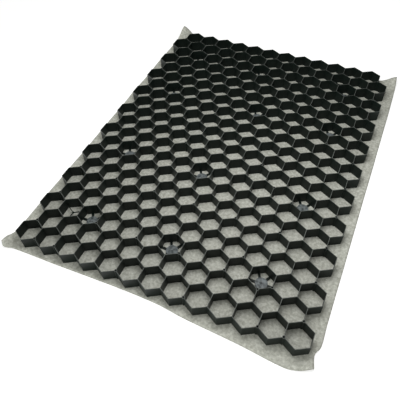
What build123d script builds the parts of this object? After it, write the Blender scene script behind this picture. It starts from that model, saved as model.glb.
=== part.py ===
from math import sqrt
import os

from build123d import *

# Honeycomb layout: cells per long row, rows, centre to centre across a shared wall
COLUMNS = 13
ROWS = 20
PITCH = 50.0
# Wall of the honeycomb and its height above the fleece
WALL = 1.0
WALL_HEIGHT = 30.0
# Hollow posts at some wall junctions, as tall as the walls
POST_DIAMETER = 6.0
POST_HOLE_DIAMETER = 4.4
# Web across each moulding-gate cell: round hub with a short gate stub, and six broad spokes
HUB_DIAMETER = 26.0
HUB_THICKNESS = 5.0
SPOKE_WIDTH = 5.0
SPOKE_THICKNESS = 3.0
STUB_DIAMETER = 3.5
STUB_HEIGHT = 1.5
# Light web of three thin ribs in two corner cells, clear of the fleece
RIB_LIFT = 10.0
RIB_THICKNESS = 2.0
RIB_WIDTH = 1.8
RIB_HUB_DIAMETER = 5.0
# Fleece under the panel and how far it stands out past the walls
FLEECE_THICKNESS = 1.0
FLEECE_OVERHANG = 22.0

# Row and column of the cells that carry a web
GATE_CELLS = [(2, 2), (2, 6), (2, 10), (7, 1), (7, 5), (7, 10)]
GATE_CELLS += [(13, 1), (13, 6), (13, 10), (17, 1), (17, 5), (17, 10)]
RIB_CELLS = [(2, 1), (18, 10)]
# Row, then the columns of the cells with a post at the right corner of their near side
POST_CELLS = {
    0: (0, 1, 4, 7, 10, 11),
    1: (-1, 11),
    2: (2, 4, 6, 8, 10),
    3: (-1, 3, 5, 8, 11),
    5: (-1, 1, 3, 5, 7, 9, 11),
    7: (-1, 9, 11),
    9: (-1, 3, 7, 11),
    11: (-1, 11),
    12: (2, 4, 8, 10),
    13: (-1, 11),
    15: (-1, 1, 3, 5, 7, 9, 11),
    17: (-1, 3, 8, 11),
    19: (-1, 1, 4, 6, 9, 11),
}
# Cells with a post at their near corner too
NEAR_POST_CELLS = [(2, 10), (8, 9)]

SIDE = PITCH / sqrt(3)
ROW_STEP = 1.5 * SIDE
PANEL_WIDTH = COLUMNS * PITCH + WALL
PANEL_LENGTH = (ROWS - 1) * ROW_STEP + 2 * SIDE + 2 * WALL / sqrt(3)


def row_cells(row):
    """Every second row is one cell short."""
    return COLUMNS - row % 2


def centre(row, column):
    """Middle of a cell seen from above."""
    across = (column - (row_cells(row) - 1) / 2) * PITCH
    along = (row - (ROWS - 1) / 2) * ROW_STEP
    return across, along


def on_panel(cells):
    """Middles of the listed cells that the panel has."""
    return [centre(row, column) for row, column in cells if row < ROWS and column < row_cells(row)]


cells = [centre(row, column) for row in range(ROWS) for column in range(row_cells(row))]
gates = on_panel(GATE_CELLS)
ribs = on_panel(RIB_CELLS)
post_list = [(row, column) for row, columns in POST_CELLS.items() for column in columns]
posts = [(x + PITCH / 2, y - SIDE / 2) for x, y in on_panel(post_list)]
posts += [(x, y - SIDE) for x, y in on_panel(NEAR_POST_CELLS)]

# Middle line of the outer wall, once around from the near left corner
near = []
for x, y in [centre(0, column) for column in range(row_cells(0))]:
    near += [(x - PITCH / 2, y - SIDE / 2), (x, y - SIDE)]
right = []
left = []
for row in range(ROWS):
    x, y = centre(row, row_cells(row) - 1)
    right += [(x + PITCH / 2, y - SIDE / 2), (x + PITCH / 2, y + SIDE / 2)]
    left += [(-x - PITCH / 2, y - SIDE / 2), (-x - PITCH / 2, y + SIDE / 2)]
far = []
for x, y in [centre(ROWS - 1, column) for column in range(row_cells(ROWS - 1))]:
    far += [(x, y + SIDE), (x + PITCH / 2, y + SIDE / 2)]
outline = near + right + far[-2::-1] + left[:0:-1]

with BuildPart() as grid_panel:
    # Spokes lie on the fleece and run into the middle of the walls
    with BuildSketch(Plane.XY.offset(FLEECE_THICKNESS)):
        with Locations(*gates):
            with PolarLocations(0, 3, angular_range=180):
                Rectangle(PITCH, SPOKE_WIDTH)
    extrude(amount=SPOKE_THICKNESS)
    with BuildSketch(Plane.XY.offset(FLEECE_THICKNESS)):
        with Locations(*gates):
            Circle(HUB_DIAMETER / 2)
    extrude(amount=HUB_THICKNESS)
    with BuildSketch(Plane.XY.offset(FLEECE_THICKNESS)):
        with Locations(*gates):
            Circle(STUB_DIAMETER / 2)
    extrude(amount=HUB_THICKNESS + STUB_HEIGHT)
    # Thin ribs run from a small middle to three corners of their cell
    with BuildSketch(Plane.XY.offset(FLEECE_THICKNESS + RIB_LIFT)):
        with Locations(*ribs):
            Circle(RIB_HUB_DIAMETER / 2)
            with PolarLocations(SIDE / 2, 3, start_angle=30):
                Rectangle(SIDE, RIB_WIDTH)
    extrude(amount=RIB_THICKNESS)
    # Walls and hollow posts share one section from the fleece to the top
    with BuildSketch(Plane.XY.offset(FLEECE_THICKNESS)):
        with BuildLine():
            Polyline(*outline, close=True)
        make_face()
        offset(amount=WALL / 2, kind=Kind.INTERSECTION)
        with Locations(*cells):
            RegularPolygon((PITCH - WALL) / 2, 6, major_radius=False, rotation=30, mode=Mode.SUBTRACT)
        with Locations(*posts):
            Circle(POST_DIAMETER / 2)
            Circle(POST_HOLE_DIAMETER / 2, mode=Mode.SUBTRACT)
    extrude(amount=WALL_HEIGHT)

with BuildPart() as fleece_sheet:
    with BuildSketch(Plane.XY):
        Rectangle(PANEL_WIDTH + 2 * FLEECE_OVERHANG, PANEL_LENGTH + 2 * FLEECE_OVERHANG)
    extrude(amount=FLEECE_THICKNESS)

os.makedirs("parts", exist_ok=True)
grid_panel.part.label = "grid_panel"
fleece_sheet.part.label = "fleece_sheet"
export_step(grid_panel.part, "parts/grid_panel.step")
export_step(fleece_sheet.part, "parts/fleece_sheet.step")
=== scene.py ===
import math

import bmesh
import bpy
from mathutils import Matrix, Vector, noise


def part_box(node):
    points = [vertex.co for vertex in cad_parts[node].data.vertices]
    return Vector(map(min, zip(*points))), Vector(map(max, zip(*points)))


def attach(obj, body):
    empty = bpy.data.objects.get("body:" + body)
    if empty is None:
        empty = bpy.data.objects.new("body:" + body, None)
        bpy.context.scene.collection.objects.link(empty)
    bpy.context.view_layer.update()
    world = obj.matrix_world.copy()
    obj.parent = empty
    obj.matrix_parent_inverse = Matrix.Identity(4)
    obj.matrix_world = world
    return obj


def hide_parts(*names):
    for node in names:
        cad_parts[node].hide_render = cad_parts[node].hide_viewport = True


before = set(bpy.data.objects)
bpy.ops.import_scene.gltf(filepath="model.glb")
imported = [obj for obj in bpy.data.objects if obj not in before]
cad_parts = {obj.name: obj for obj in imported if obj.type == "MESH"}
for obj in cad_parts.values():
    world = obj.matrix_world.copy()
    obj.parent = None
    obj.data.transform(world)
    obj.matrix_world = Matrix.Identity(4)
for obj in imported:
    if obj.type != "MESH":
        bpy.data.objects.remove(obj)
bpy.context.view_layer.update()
MM = 0.001

# Panel's outer size and levels, read from the frame
PANEL_LOW, PANEL_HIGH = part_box("grid_panel")
HALF_WIDTH = PANEL_HIGH[0]
HALF_LENGTH = PANEL_HIGH[1]
PANEL_FOOT = PANEL_LOW[2]
PANEL_TOP = PANEL_HIGH[2]
FLEECE_THICKNESS = PANEL_FOOT

# Hub of a gate web, the stub on it, and the level between their upper faces
HUB_THICKNESS = 5.0 * MM
STUB_HEIGHT = 1.5 * MM
HUB_LEVEL = PANEL_FOOT + HUB_THICKNESS + STUB_HEIGHT / 2
HUB_BAND = 1.0 * MM

# Camera of the photograph
CAMERA_AT = (0.28087, -0.77068, 0.81567)
CAMERA_TURN = math.radians(25.298)
CAMERA_TILT = math.radians(39.133)
CAMERA_ROLL = math.radians(-1.983)
LENS_MM = 40.39
SENSOR_MM = 36.0

# Studio: floor, softbox above the panel, tent and the pale card in front
FLOOR_REACH = 6.0
FLOOR_GLOW = 0.55
SOFTBOX_AT = (0.08, -0.15, 0.72)
SOFTBOX_SIDE = 0.42
SOFTBOX_WATTS = 3.2
TENT_WALL_LEVEL = 0.11
TENT_ROOF_LEVEL = 0.4
CARD_LEVEL = 1.0
CARD_SIDE = Vector((-0.5, -0.85, 0.15)).normalized()

# How far the fleece stands out past the panel, in mm, at places from 0 to 1 along each edge
NEAR_OVERHANG = [(0.0, 8), (0.02, 18), (0.05, 12), (0.2, 9.5), (0.43, 5), (0.55, 6), (0.63, 12),
                 (0.8, 19), (0.93, 26.5), (0.97, 21), (1.0, 10)]
FAR_OVERHANG = [(0.0, 25), (0.1, 18), (0.5, 15), (0.94, 6), (1.0, 19)]
LEFT_OVERHANG = [(0.0, 30), (0.018, 28), (0.03, 22), (0.05, 20), (0.3, 19.5), (0.7, 20), (0.95, 18),
                 (1.0, 13)]
RIGHT_OVERHANG = [(0.0, 16), (0.03, 10.7), (0.05, 18), (0.1, 18), (0.4, 21), (0.7, 24), (0.95, 25),
                  (1.0, 20)]
# Lifted corners: place along the width and the length, height in mm, reach in mm
LIFTED_CORNERS = [(0.0, 1.0, 27, 62), (1.0, 1.0, 15, 54), (0.0, 0.0, 4, 54), (1.0, 0.0, 4, 45)]
CURL_SHARPNESS = 1.5
# Waves of the fleece, full grown this far outside the panel
WAVE_LENGTH = 85 * MM
WAVE_REACH = 21 * MM
WAVE_MIDDLE = 1.4 * MM
WAVE_RISE = 2.8 * MM
WAVE_DRAW = 3.0
# Mesh of the fleece: one step, and the steps added for the overhang
FLEECE_STEP = 5 * MM
STEPS_ADDED_ACROSS = 8
STEPS_ADDED_ALONG = 6


def linear(hex_code):
    """Linear colour with alpha from an sRGB hex value."""
    values = [int(hex_code[i:i + 2], 16) / 255 for i in (1, 3, 5)]
    return [v / 12.92 if v <= 0.04045 else ((v + 0.055) / 1.055) ** 2.4 for v in values] + [1.0]


def add(tree, kind, inputs=None, **settings):
    """Add a node with its settings, then fill or link its inputs."""
    made = tree.nodes.new(kind)
    for name, value in settings.items():
        setattr(made, name, value)
    for key, value in (inputs or {}).items():
        if isinstance(value, bpy.types.NodeSocket):
            tree.links.new(value, made.inputs[key])
        else:
            made.inputs[key].default_value = value
    return made


def new_material(name):
    """Empty node material with its output node."""
    material = bpy.data.materials.new(name)
    material.use_nodes = True
    material.node_tree.nodes.clear()
    return material, material.node_tree, material.node_tree.nodes.new("ShaderNodeOutputMaterial")


def upward_faces(tree, place):
    """Masks of the wall tops and of the hubs, both only where the face looks up: for the painted
    highlight on the tops and the painted reflection and shine on the hubs.
    """
    height = add(tree, "ShaderNodeSeparateXYZ", {"Vector": place}).outputs["Z"]
    normal = add(tree, "ShaderNodeNewGeometry").outputs["Normal"]
    facing = add(tree, "ShaderNodeSeparateXYZ", {"Vector": normal}).outputs["Z"]
    upward = add(tree, "ShaderNodeMapRange",
                 {"Value": facing, "From Min": 0.5, "From Max": 0.9}).outputs["Result"]
    on_top = add(tree, "ShaderNodeMapRange",
                 {"Value": height, "From Min": PANEL_TOP - 0.4 * MM,
                  "From Max": PANEL_TOP - 0.1 * MM}).outputs["Result"]
    on_hub = add(tree, "ShaderNodeMath", {0: height, 1: HUB_LEVEL, 2: HUB_BAND},
                 operation="COMPARE").outputs["Value"]
    top = add(tree, "ShaderNodeMath", {0: upward, 1: on_top}, operation="MULTIPLY")
    hub = add(tree, "ShaderNodeMath", {0: upward, 1: on_hub}, operation="MULTIPLY")
    return top.outputs["Value"], hub.outputs["Value"]


def draw_marks(tree, place):
    """Faint upright marks of the mould, 1.6 mm across and 45 mm long."""
    scale = (1 / (1.6 * MM), 1 / (1.6 * MM), 1 / (45 * MM))
    drawn = add(tree, "ShaderNodeMapping", {"Vector": place, "Scale": scale}).outputs["Vector"]
    marks = add(tree, "ShaderNodeTexNoise", {"Vector": drawn, "Scale": 1.0, "Detail": 3.0}).outputs["Fac"]
    bump = add(tree, "ShaderNodeBump", {"Height": marks, "Strength": 0.35, "Distance": 0.12 * MM})
    return bump.outputs["Normal"]


def recycled_polypropylene():
    """Injection-moulded black regrind: satin, a little mottled, wall tops with a painted pale highlight,
    hubs shiny with a painted grey reflection.
    """
    material, tree, output = new_material("moulded_recycled_polypropylene")
    place = add(tree, "ShaderNodeTexCoord").outputs["Object"]
    top, hub = upward_faces(tree, place)
    # Cloudy regrind black with a slight green cast, in clouds of 22 mm
    cloud = add(tree, "ShaderNodeTexNoise", {"Vector": place, "Scale": 1 / (22 * MM), "Detail": 4.0})
    colour = add(tree, "ShaderNodeMix",
                 {"Factor": cloud.outputs["Fac"], "A": linear("#0c1310"), "B": linear("#1a2420")},
                 data_type="RGBA")
    # Painted highlight: upward wall tops made pale grey where the light from above falls on them, broken
    # up in stretches of 12 mm
    top_highlight_noise = add(tree, "ShaderNodeTexNoise",
                {"Vector": place, "Scale": 1 / (12 * MM), "Detail": 6.0, "Roughness": 0.7})
    top_highlight_streaks = add(tree, "ShaderNodeMapRange",
                  {"Value": top_highlight_noise.outputs["Fac"], "From Min": 0.25, "From Max": 0.65, "To Min": 0.2,
                   "To Max": 1.0})
    top_highlight = add(tree, "ShaderNodeMath", {0: top, 1: top_highlight_streaks.outputs["Result"]}, operation="MULTIPLY")
    colour = add(tree, "ShaderNodeMix",
                 {"Factor": top_highlight.outputs["Value"], "A": colour.outputs["Result"],
                  "B": linear("#7a7e7a")}, data_type="RGBA")
    # Painted reflection: upward hub faces made bluish grey where they mirror the bright light overhead,
    # in patches of 7 mm
    hub_reflection_noise = add(tree, "ShaderNodeTexNoise", {"Vector": place, "Scale": 1 / (7 * MM), "Detail": 3.0})
    hub_reflection_patches = add(tree, "ShaderNodeMapRange",
                {"Value": hub_reflection_noise.outputs["Fac"], "From Min": 0.3, "From Max": 0.7, "To Min": 0.2,
                 "To Max": 1.0})
    hub_reflection = add(tree, "ShaderNodeMath", {0: hub, 1: hub_reflection_patches.outputs["Result"]}, operation="MULTIPLY")
    colour = add(tree, "ShaderNodeMix",
                 {"Factor": hub_reflection.outputs["Value"], "A": colour.outputs["Result"],
                  "B": linear("#82898b")}, data_type="RGBA")
    rough = add(tree, "ShaderNodeMapRange", {"Value": hub, "To Min": 0.42, "To Max": 0.26})
    shader = add(tree, "ShaderNodeBsdfPrincipled",
                 {"Base Color": colour.outputs["Result"], "Roughness": rough.outputs["Result"],
                  "IOR": 1.49, "Specular IOR Level": 0.18, "Normal": draw_marks(tree, place)})
    tree.links.new(shader.outputs["BSDF"], output.inputs["Surface"])
    return material


def fibres(tree, place, turn):
    """Hairs lying about one direction, 7 mm long, drawn 0.35 mm across, thicker than real, to show."""
    laid = add(tree, "ShaderNodeMapping",
               {"Vector": place, "Rotation": (0.0, 0.0, math.radians(turn)),
                "Scale": (1 / (7 * MM), 1 / (0.35 * MM), 1 / (2 * MM))})
    hairs = add(tree, "ShaderNodeTexNoise",
                {"Vector": laid.outputs["Vector"], "Scale": 1.0, "Detail": 2.0, "Distortion": 0.6})
    return hairs.outputs["Fac"]


def needle_punched_fleece():
    """Pale grey non-woven fleece of matted fibres: matt, blotchy, hairy close up."""
    material, tree, output = new_material("needle_punched_polyester_fleece")
    place = add(tree, "ShaderNodeTexCoord").outputs["Object"]
    # Thick and thin places in the web of fibres, 6 mm across
    blotch = add(tree, "ShaderNodeTexNoise",
                 {"Vector": place, "Scale": 1 / (6 * MM), "Detail": 5.0, "Roughness": 0.6})
    tone = add(tree, "ShaderNodeValToRGB", {"Fac": blotch.outputs["Fac"]})
    thin, thick = tone.color_ramp.elements
    thin.position = 0.3
    thin.color = linear("#adaea2")
    thick.position = 0.7
    thick.color = linear("#e3e4da")
    # Hairs in two directions, seen as fine lines and felt as a nap
    hairs = add(tree, "ShaderNodeMath", {0: fibres(tree, place, 24), 1: fibres(tree, place, -37)},
                operation="MAXIMUM").outputs["Value"]
    shade = add(tree, "ShaderNodeMapRange",
                {"Value": hairs, "From Min": 0.45, "From Max": 0.75, "To Min": 0.84, "To Max": 1.1})
    colour = add(tree, "ShaderNodeVectorMath",
                 {0: tone.outputs["Color"], "Scale": shade.outputs["Result"]}, operation="SCALE")
    nap = add(tree, "ShaderNodeBump", {"Height": hairs, "Strength": 0.5, "Distance": 0.3 * MM})
    lumps = add(tree, "ShaderNodeBump",
                {"Height": blotch.outputs["Fac"], "Strength": 0.5, "Distance": 1.2 * MM,
                 "Normal": nap.outputs["Normal"]})
    shader = add(tree, "ShaderNodeBsdfPrincipled",
                 {"Base Color": colour.outputs["Vector"], "Roughness": 0.95, "IOR": 1.45,
                  "Specular IOR Level": 0.2, "Normal": lumps.outputs["Normal"]})
    tree.links.new(shader.outputs["BSDF"], output.inputs["Surface"])
    return material


def white_floor():
    """White studio sweep, lit up a little for the eye and in reflections."""
    material, tree, output = new_material("white_studio_floor")
    path = add(tree, "ShaderNodeLightPath").outputs
    seen = add(tree, "ShaderNodeMath", {0: path["Is Camera Ray"], 1: path["Is Glossy Ray"]},
               operation="MAXIMUM")
    seen = add(tree, "ShaderNodeMath", {0: seen.outputs["Value"], 1: path["Is Transmission Ray"]},
               operation="MAXIMUM")
    glow = add(tree, "ShaderNodeMath", {0: seen.outputs["Value"], 1: FLOOR_GLOW}, operation="MULTIPLY")
    paint = add(tree, "ShaderNodeBsdfDiffuse", {"Color": linear("#f2f2f2")})
    light = add(tree, "ShaderNodeEmission", {"Strength": glow.outputs["Value"]})
    both = add(tree, "ShaderNodeAddShader", {0: paint.outputs["BSDF"], 1: light.outputs["Emission"]})
    tree.links.new(both.outputs["Shader"], output.inputs["Surface"])
    return material


def through(points, place):
    """Height at a place of a smooth line through a few (place, height) points."""
    i = 0
    while i < len(points) - 2 and place > points[i + 1][0]:
        i += 1
    (a, low), (b, high) = points[i:i + 2]
    before = points[max(i - 1, 0)]
    after = points[min(i + 2, len(points) - 1)]
    start = (high - before[1]) / (b - before[0]) * (b - a)
    end = (after[1] - low) / (after[0] - a) * (b - a)
    cubic = 2 * low - 2 * high + start + end
    square = 3 * high - 3 * low - 2 * start - end
    t = (place - a) / (b - a)
    return cubic * t ** 3 + square * t ** 2 + start * t + low


def eased(value):
    """Smooth step from 0 to 1."""
    value = min(max(value, 0.0), 1.0)
    return value * value * (3 - 2 * value)


def fleece_point(u, v):
    """Place of the fleece's underside at u across and v along, waved outside the panel only."""
    left = -HALF_WIDTH - through(LEFT_OVERHANG, v) * MM
    right = HALF_WIDTH + through(RIGHT_OVERHANG, v) * MM
    near = -HALF_LENGTH - through(NEAR_OVERHANG, u) * MM
    far = HALF_LENGTH + through(FAR_OVERHANG, u) * MM
    x = left + (right - left) * u
    y = near + (far - near) * v
    outside = math.hypot(max(abs(x) - HALF_WIDTH, 0), max(abs(y) - HALF_LENGTH, 0))
    wave = noise.noise((x / WAVE_LENGTH, y / WAVE_LENGTH, WAVE_DRAW))
    z = eased(outside / WAVE_REACH) * (WAVE_MIDDLE + WAVE_RISE * wave)
    for corner_u, corner_v, height, reach in LIFTED_CORNERS:
        tip = (left + (right - left) * corner_u, near + (far - near) * corner_v)
        away = math.hypot(x - tip[0], y - tip[1]) / (reach * MM)
        z += height * MM * eased(1 - away) ** CURL_SHARPNESS
    return Vector((x, y, max(z, 0.0)))


def fleece_mesh():
    """Closed sheet of even thickness: upper face, underside and the cut rim."""
    across = round(2 * HALF_WIDTH / FLEECE_STEP) + STEPS_ADDED_ACROSS
    along = round(2 * HALF_LENGTH / FLEECE_STEP) + STEPS_ADDED_ALONG
    rise = Vector((0, 0, FLEECE_THICKNESS))
    work = bmesh.new()
    under = []
    for j in range(along + 1):
        under.append([work.verts.new(fleece_point(i / across, j / along)) for i in range(across + 1)])
    over = [[work.verts.new(vert.co + rise) for vert in line] for line in under]
    for j in range(along):
        for i in range(across):
            work.faces.new((over[j][i], over[j][i + 1], over[j + 1][i + 1], over[j + 1][i]))
            work.faces.new((under[j][i], under[j + 1][i], under[j + 1][i + 1], under[j][i + 1]))
    rim = [(0, i) for i in range(across)] + [(j, across) for j in range(along)]
    rim += [(along, across - i) for i in range(across)] + [(along - j, 0) for j in range(along)]
    for (j, i), (jj, ii) in zip(rim, rim[1:] + rim[:1]):
        work.faces.new((under[j][i], under[jj][ii], over[jj][ii], over[j][i]))
    mesh = bpy.data.meshes.new("fleece")
    work.to_mesh(mesh)
    work.free()
    mesh.shade_smooth()
    return mesh


def build_fleece():
    """Sheet under the panel with an uneven cut edge, waves and lifted corners."""
    mesh = fleece_mesh()
    piece = bpy.data.objects.new("fleece", mesh)
    bpy.context.scene.collection.objects.link(piece)
    mesh.materials.append(needle_punched_fleece())
    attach(piece, "root")
    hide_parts("fleece_sheet")


def dress_panel():
    """The moulded panel keeps its own shape and gets its plastic."""
    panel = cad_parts["grid_panel"]
    panel.data.materials.clear()
    panel.data.materials.append(recycled_polypropylene())


def build_floor():
    """Plain floor under the fleece."""
    mesh = bpy.data.meshes.new("studio_floor")
    corners = [(x * FLOOR_REACH, y * FLOOR_REACH, 0) for x, y in ((-1, -1), (1, -1), (1, 1), (-1, 1))]
    mesh.from_pydata(corners, [], [(0, 1, 2, 3)])
    floor = bpy.data.objects.new("studio_floor", mesh)
    bpy.context.scene.collection.objects.link(floor)
    mesh.materials.append(white_floor())


def build_camera():
    """Camera turned about the upright, tilted down and rolled a little."""
    data = bpy.data.cameras.new("camera")
    data.sensor_fit = "HORIZONTAL"
    data.sensor_width = SENSOR_MM
    data.lens = LENS_MM
    data.clip_start = 0.01
    camera = bpy.data.objects.new("camera", data)
    turn = Matrix.Rotation(CAMERA_TURN, 4, "Z") @ Matrix.Rotation(CAMERA_TILT, 4, "X")
    turn = turn @ Matrix.Rotation(CAMERA_ROLL, 4, "Z")
    camera.matrix_world = Matrix.Translation(CAMERA_AT) @ turn
    bpy.context.scene.collection.objects.link(camera)
    bpy.context.scene.camera = camera


def build_softbox():
    """Square softbox close above the panel, a little towards the camera."""
    data = bpy.data.lights.new("softbox", "AREA")
    data.shape = "SQUARE"
    data.size = SOFTBOX_SIDE
    data.energy = SOFTBOX_WATTS
    softbox = bpy.data.objects.new("softbox", data)
    softbox.location = SOFTBOX_AT
    softbox.visible_camera = False
    bpy.context.scene.collection.objects.link(softbox)


def build_tent():
    """Dim white tent around the panel, lighter overhead, with a pale card in front."""
    scene = bpy.context.scene
    scene.view_settings.view_transform = "Standard"
    world = bpy.data.worlds.new("tent")
    scene.world = world
    world.use_nodes = True
    tree = world.node_tree
    tree.nodes.clear()
    direction = add(tree, "ShaderNodeTexCoord").outputs["Generated"]
    up = add(tree, "ShaderNodeSeparateXYZ", {"Vector": direction}).outputs["Z"]
    roof = add(tree, "ShaderNodeMapRange",
               {"Value": up, "To Min": TENT_WALL_LEVEL, "To Max": TENT_ROOF_LEVEL},
               interpolation_type="SMOOTHSTEP")
    toward_card = add(tree, "ShaderNodeVectorMath", {0: direction, 1: CARD_SIDE}, operation="DOT_PRODUCT")
    card = add(tree, "ShaderNodeMapRange",
               {"Value": toward_card.outputs["Value"], "From Min": 0.3, "To Max": CARD_LEVEL},
               interpolation_type="SMOOTHSTEP")
    level = add(tree, "ShaderNodeMath", {0: roof.outputs["Result"], 1: card.outputs["Result"]},
                operation="ADD")
    # The camera itself sees plain white behind the floor
    seen = add(tree, "ShaderNodeLightPath").outputs["Is Camera Ray"]
    shown = add(tree, "ShaderNodeMix", {"Factor": seen, "A": level.outputs["Value"], "B": 1.0})
    sky = add(tree, "ShaderNodeBackground",
              {"Color": linear("#fcfdfa"), "Strength": shown.outputs["Result"]})
    output = add(tree, "ShaderNodeOutputWorld")
    tree.links.new(sky.outputs["Background"], output.inputs["Surface"])


build_floor()
build_fleece()
dress_panel()
build_camera()
build_softbox()
build_tent()
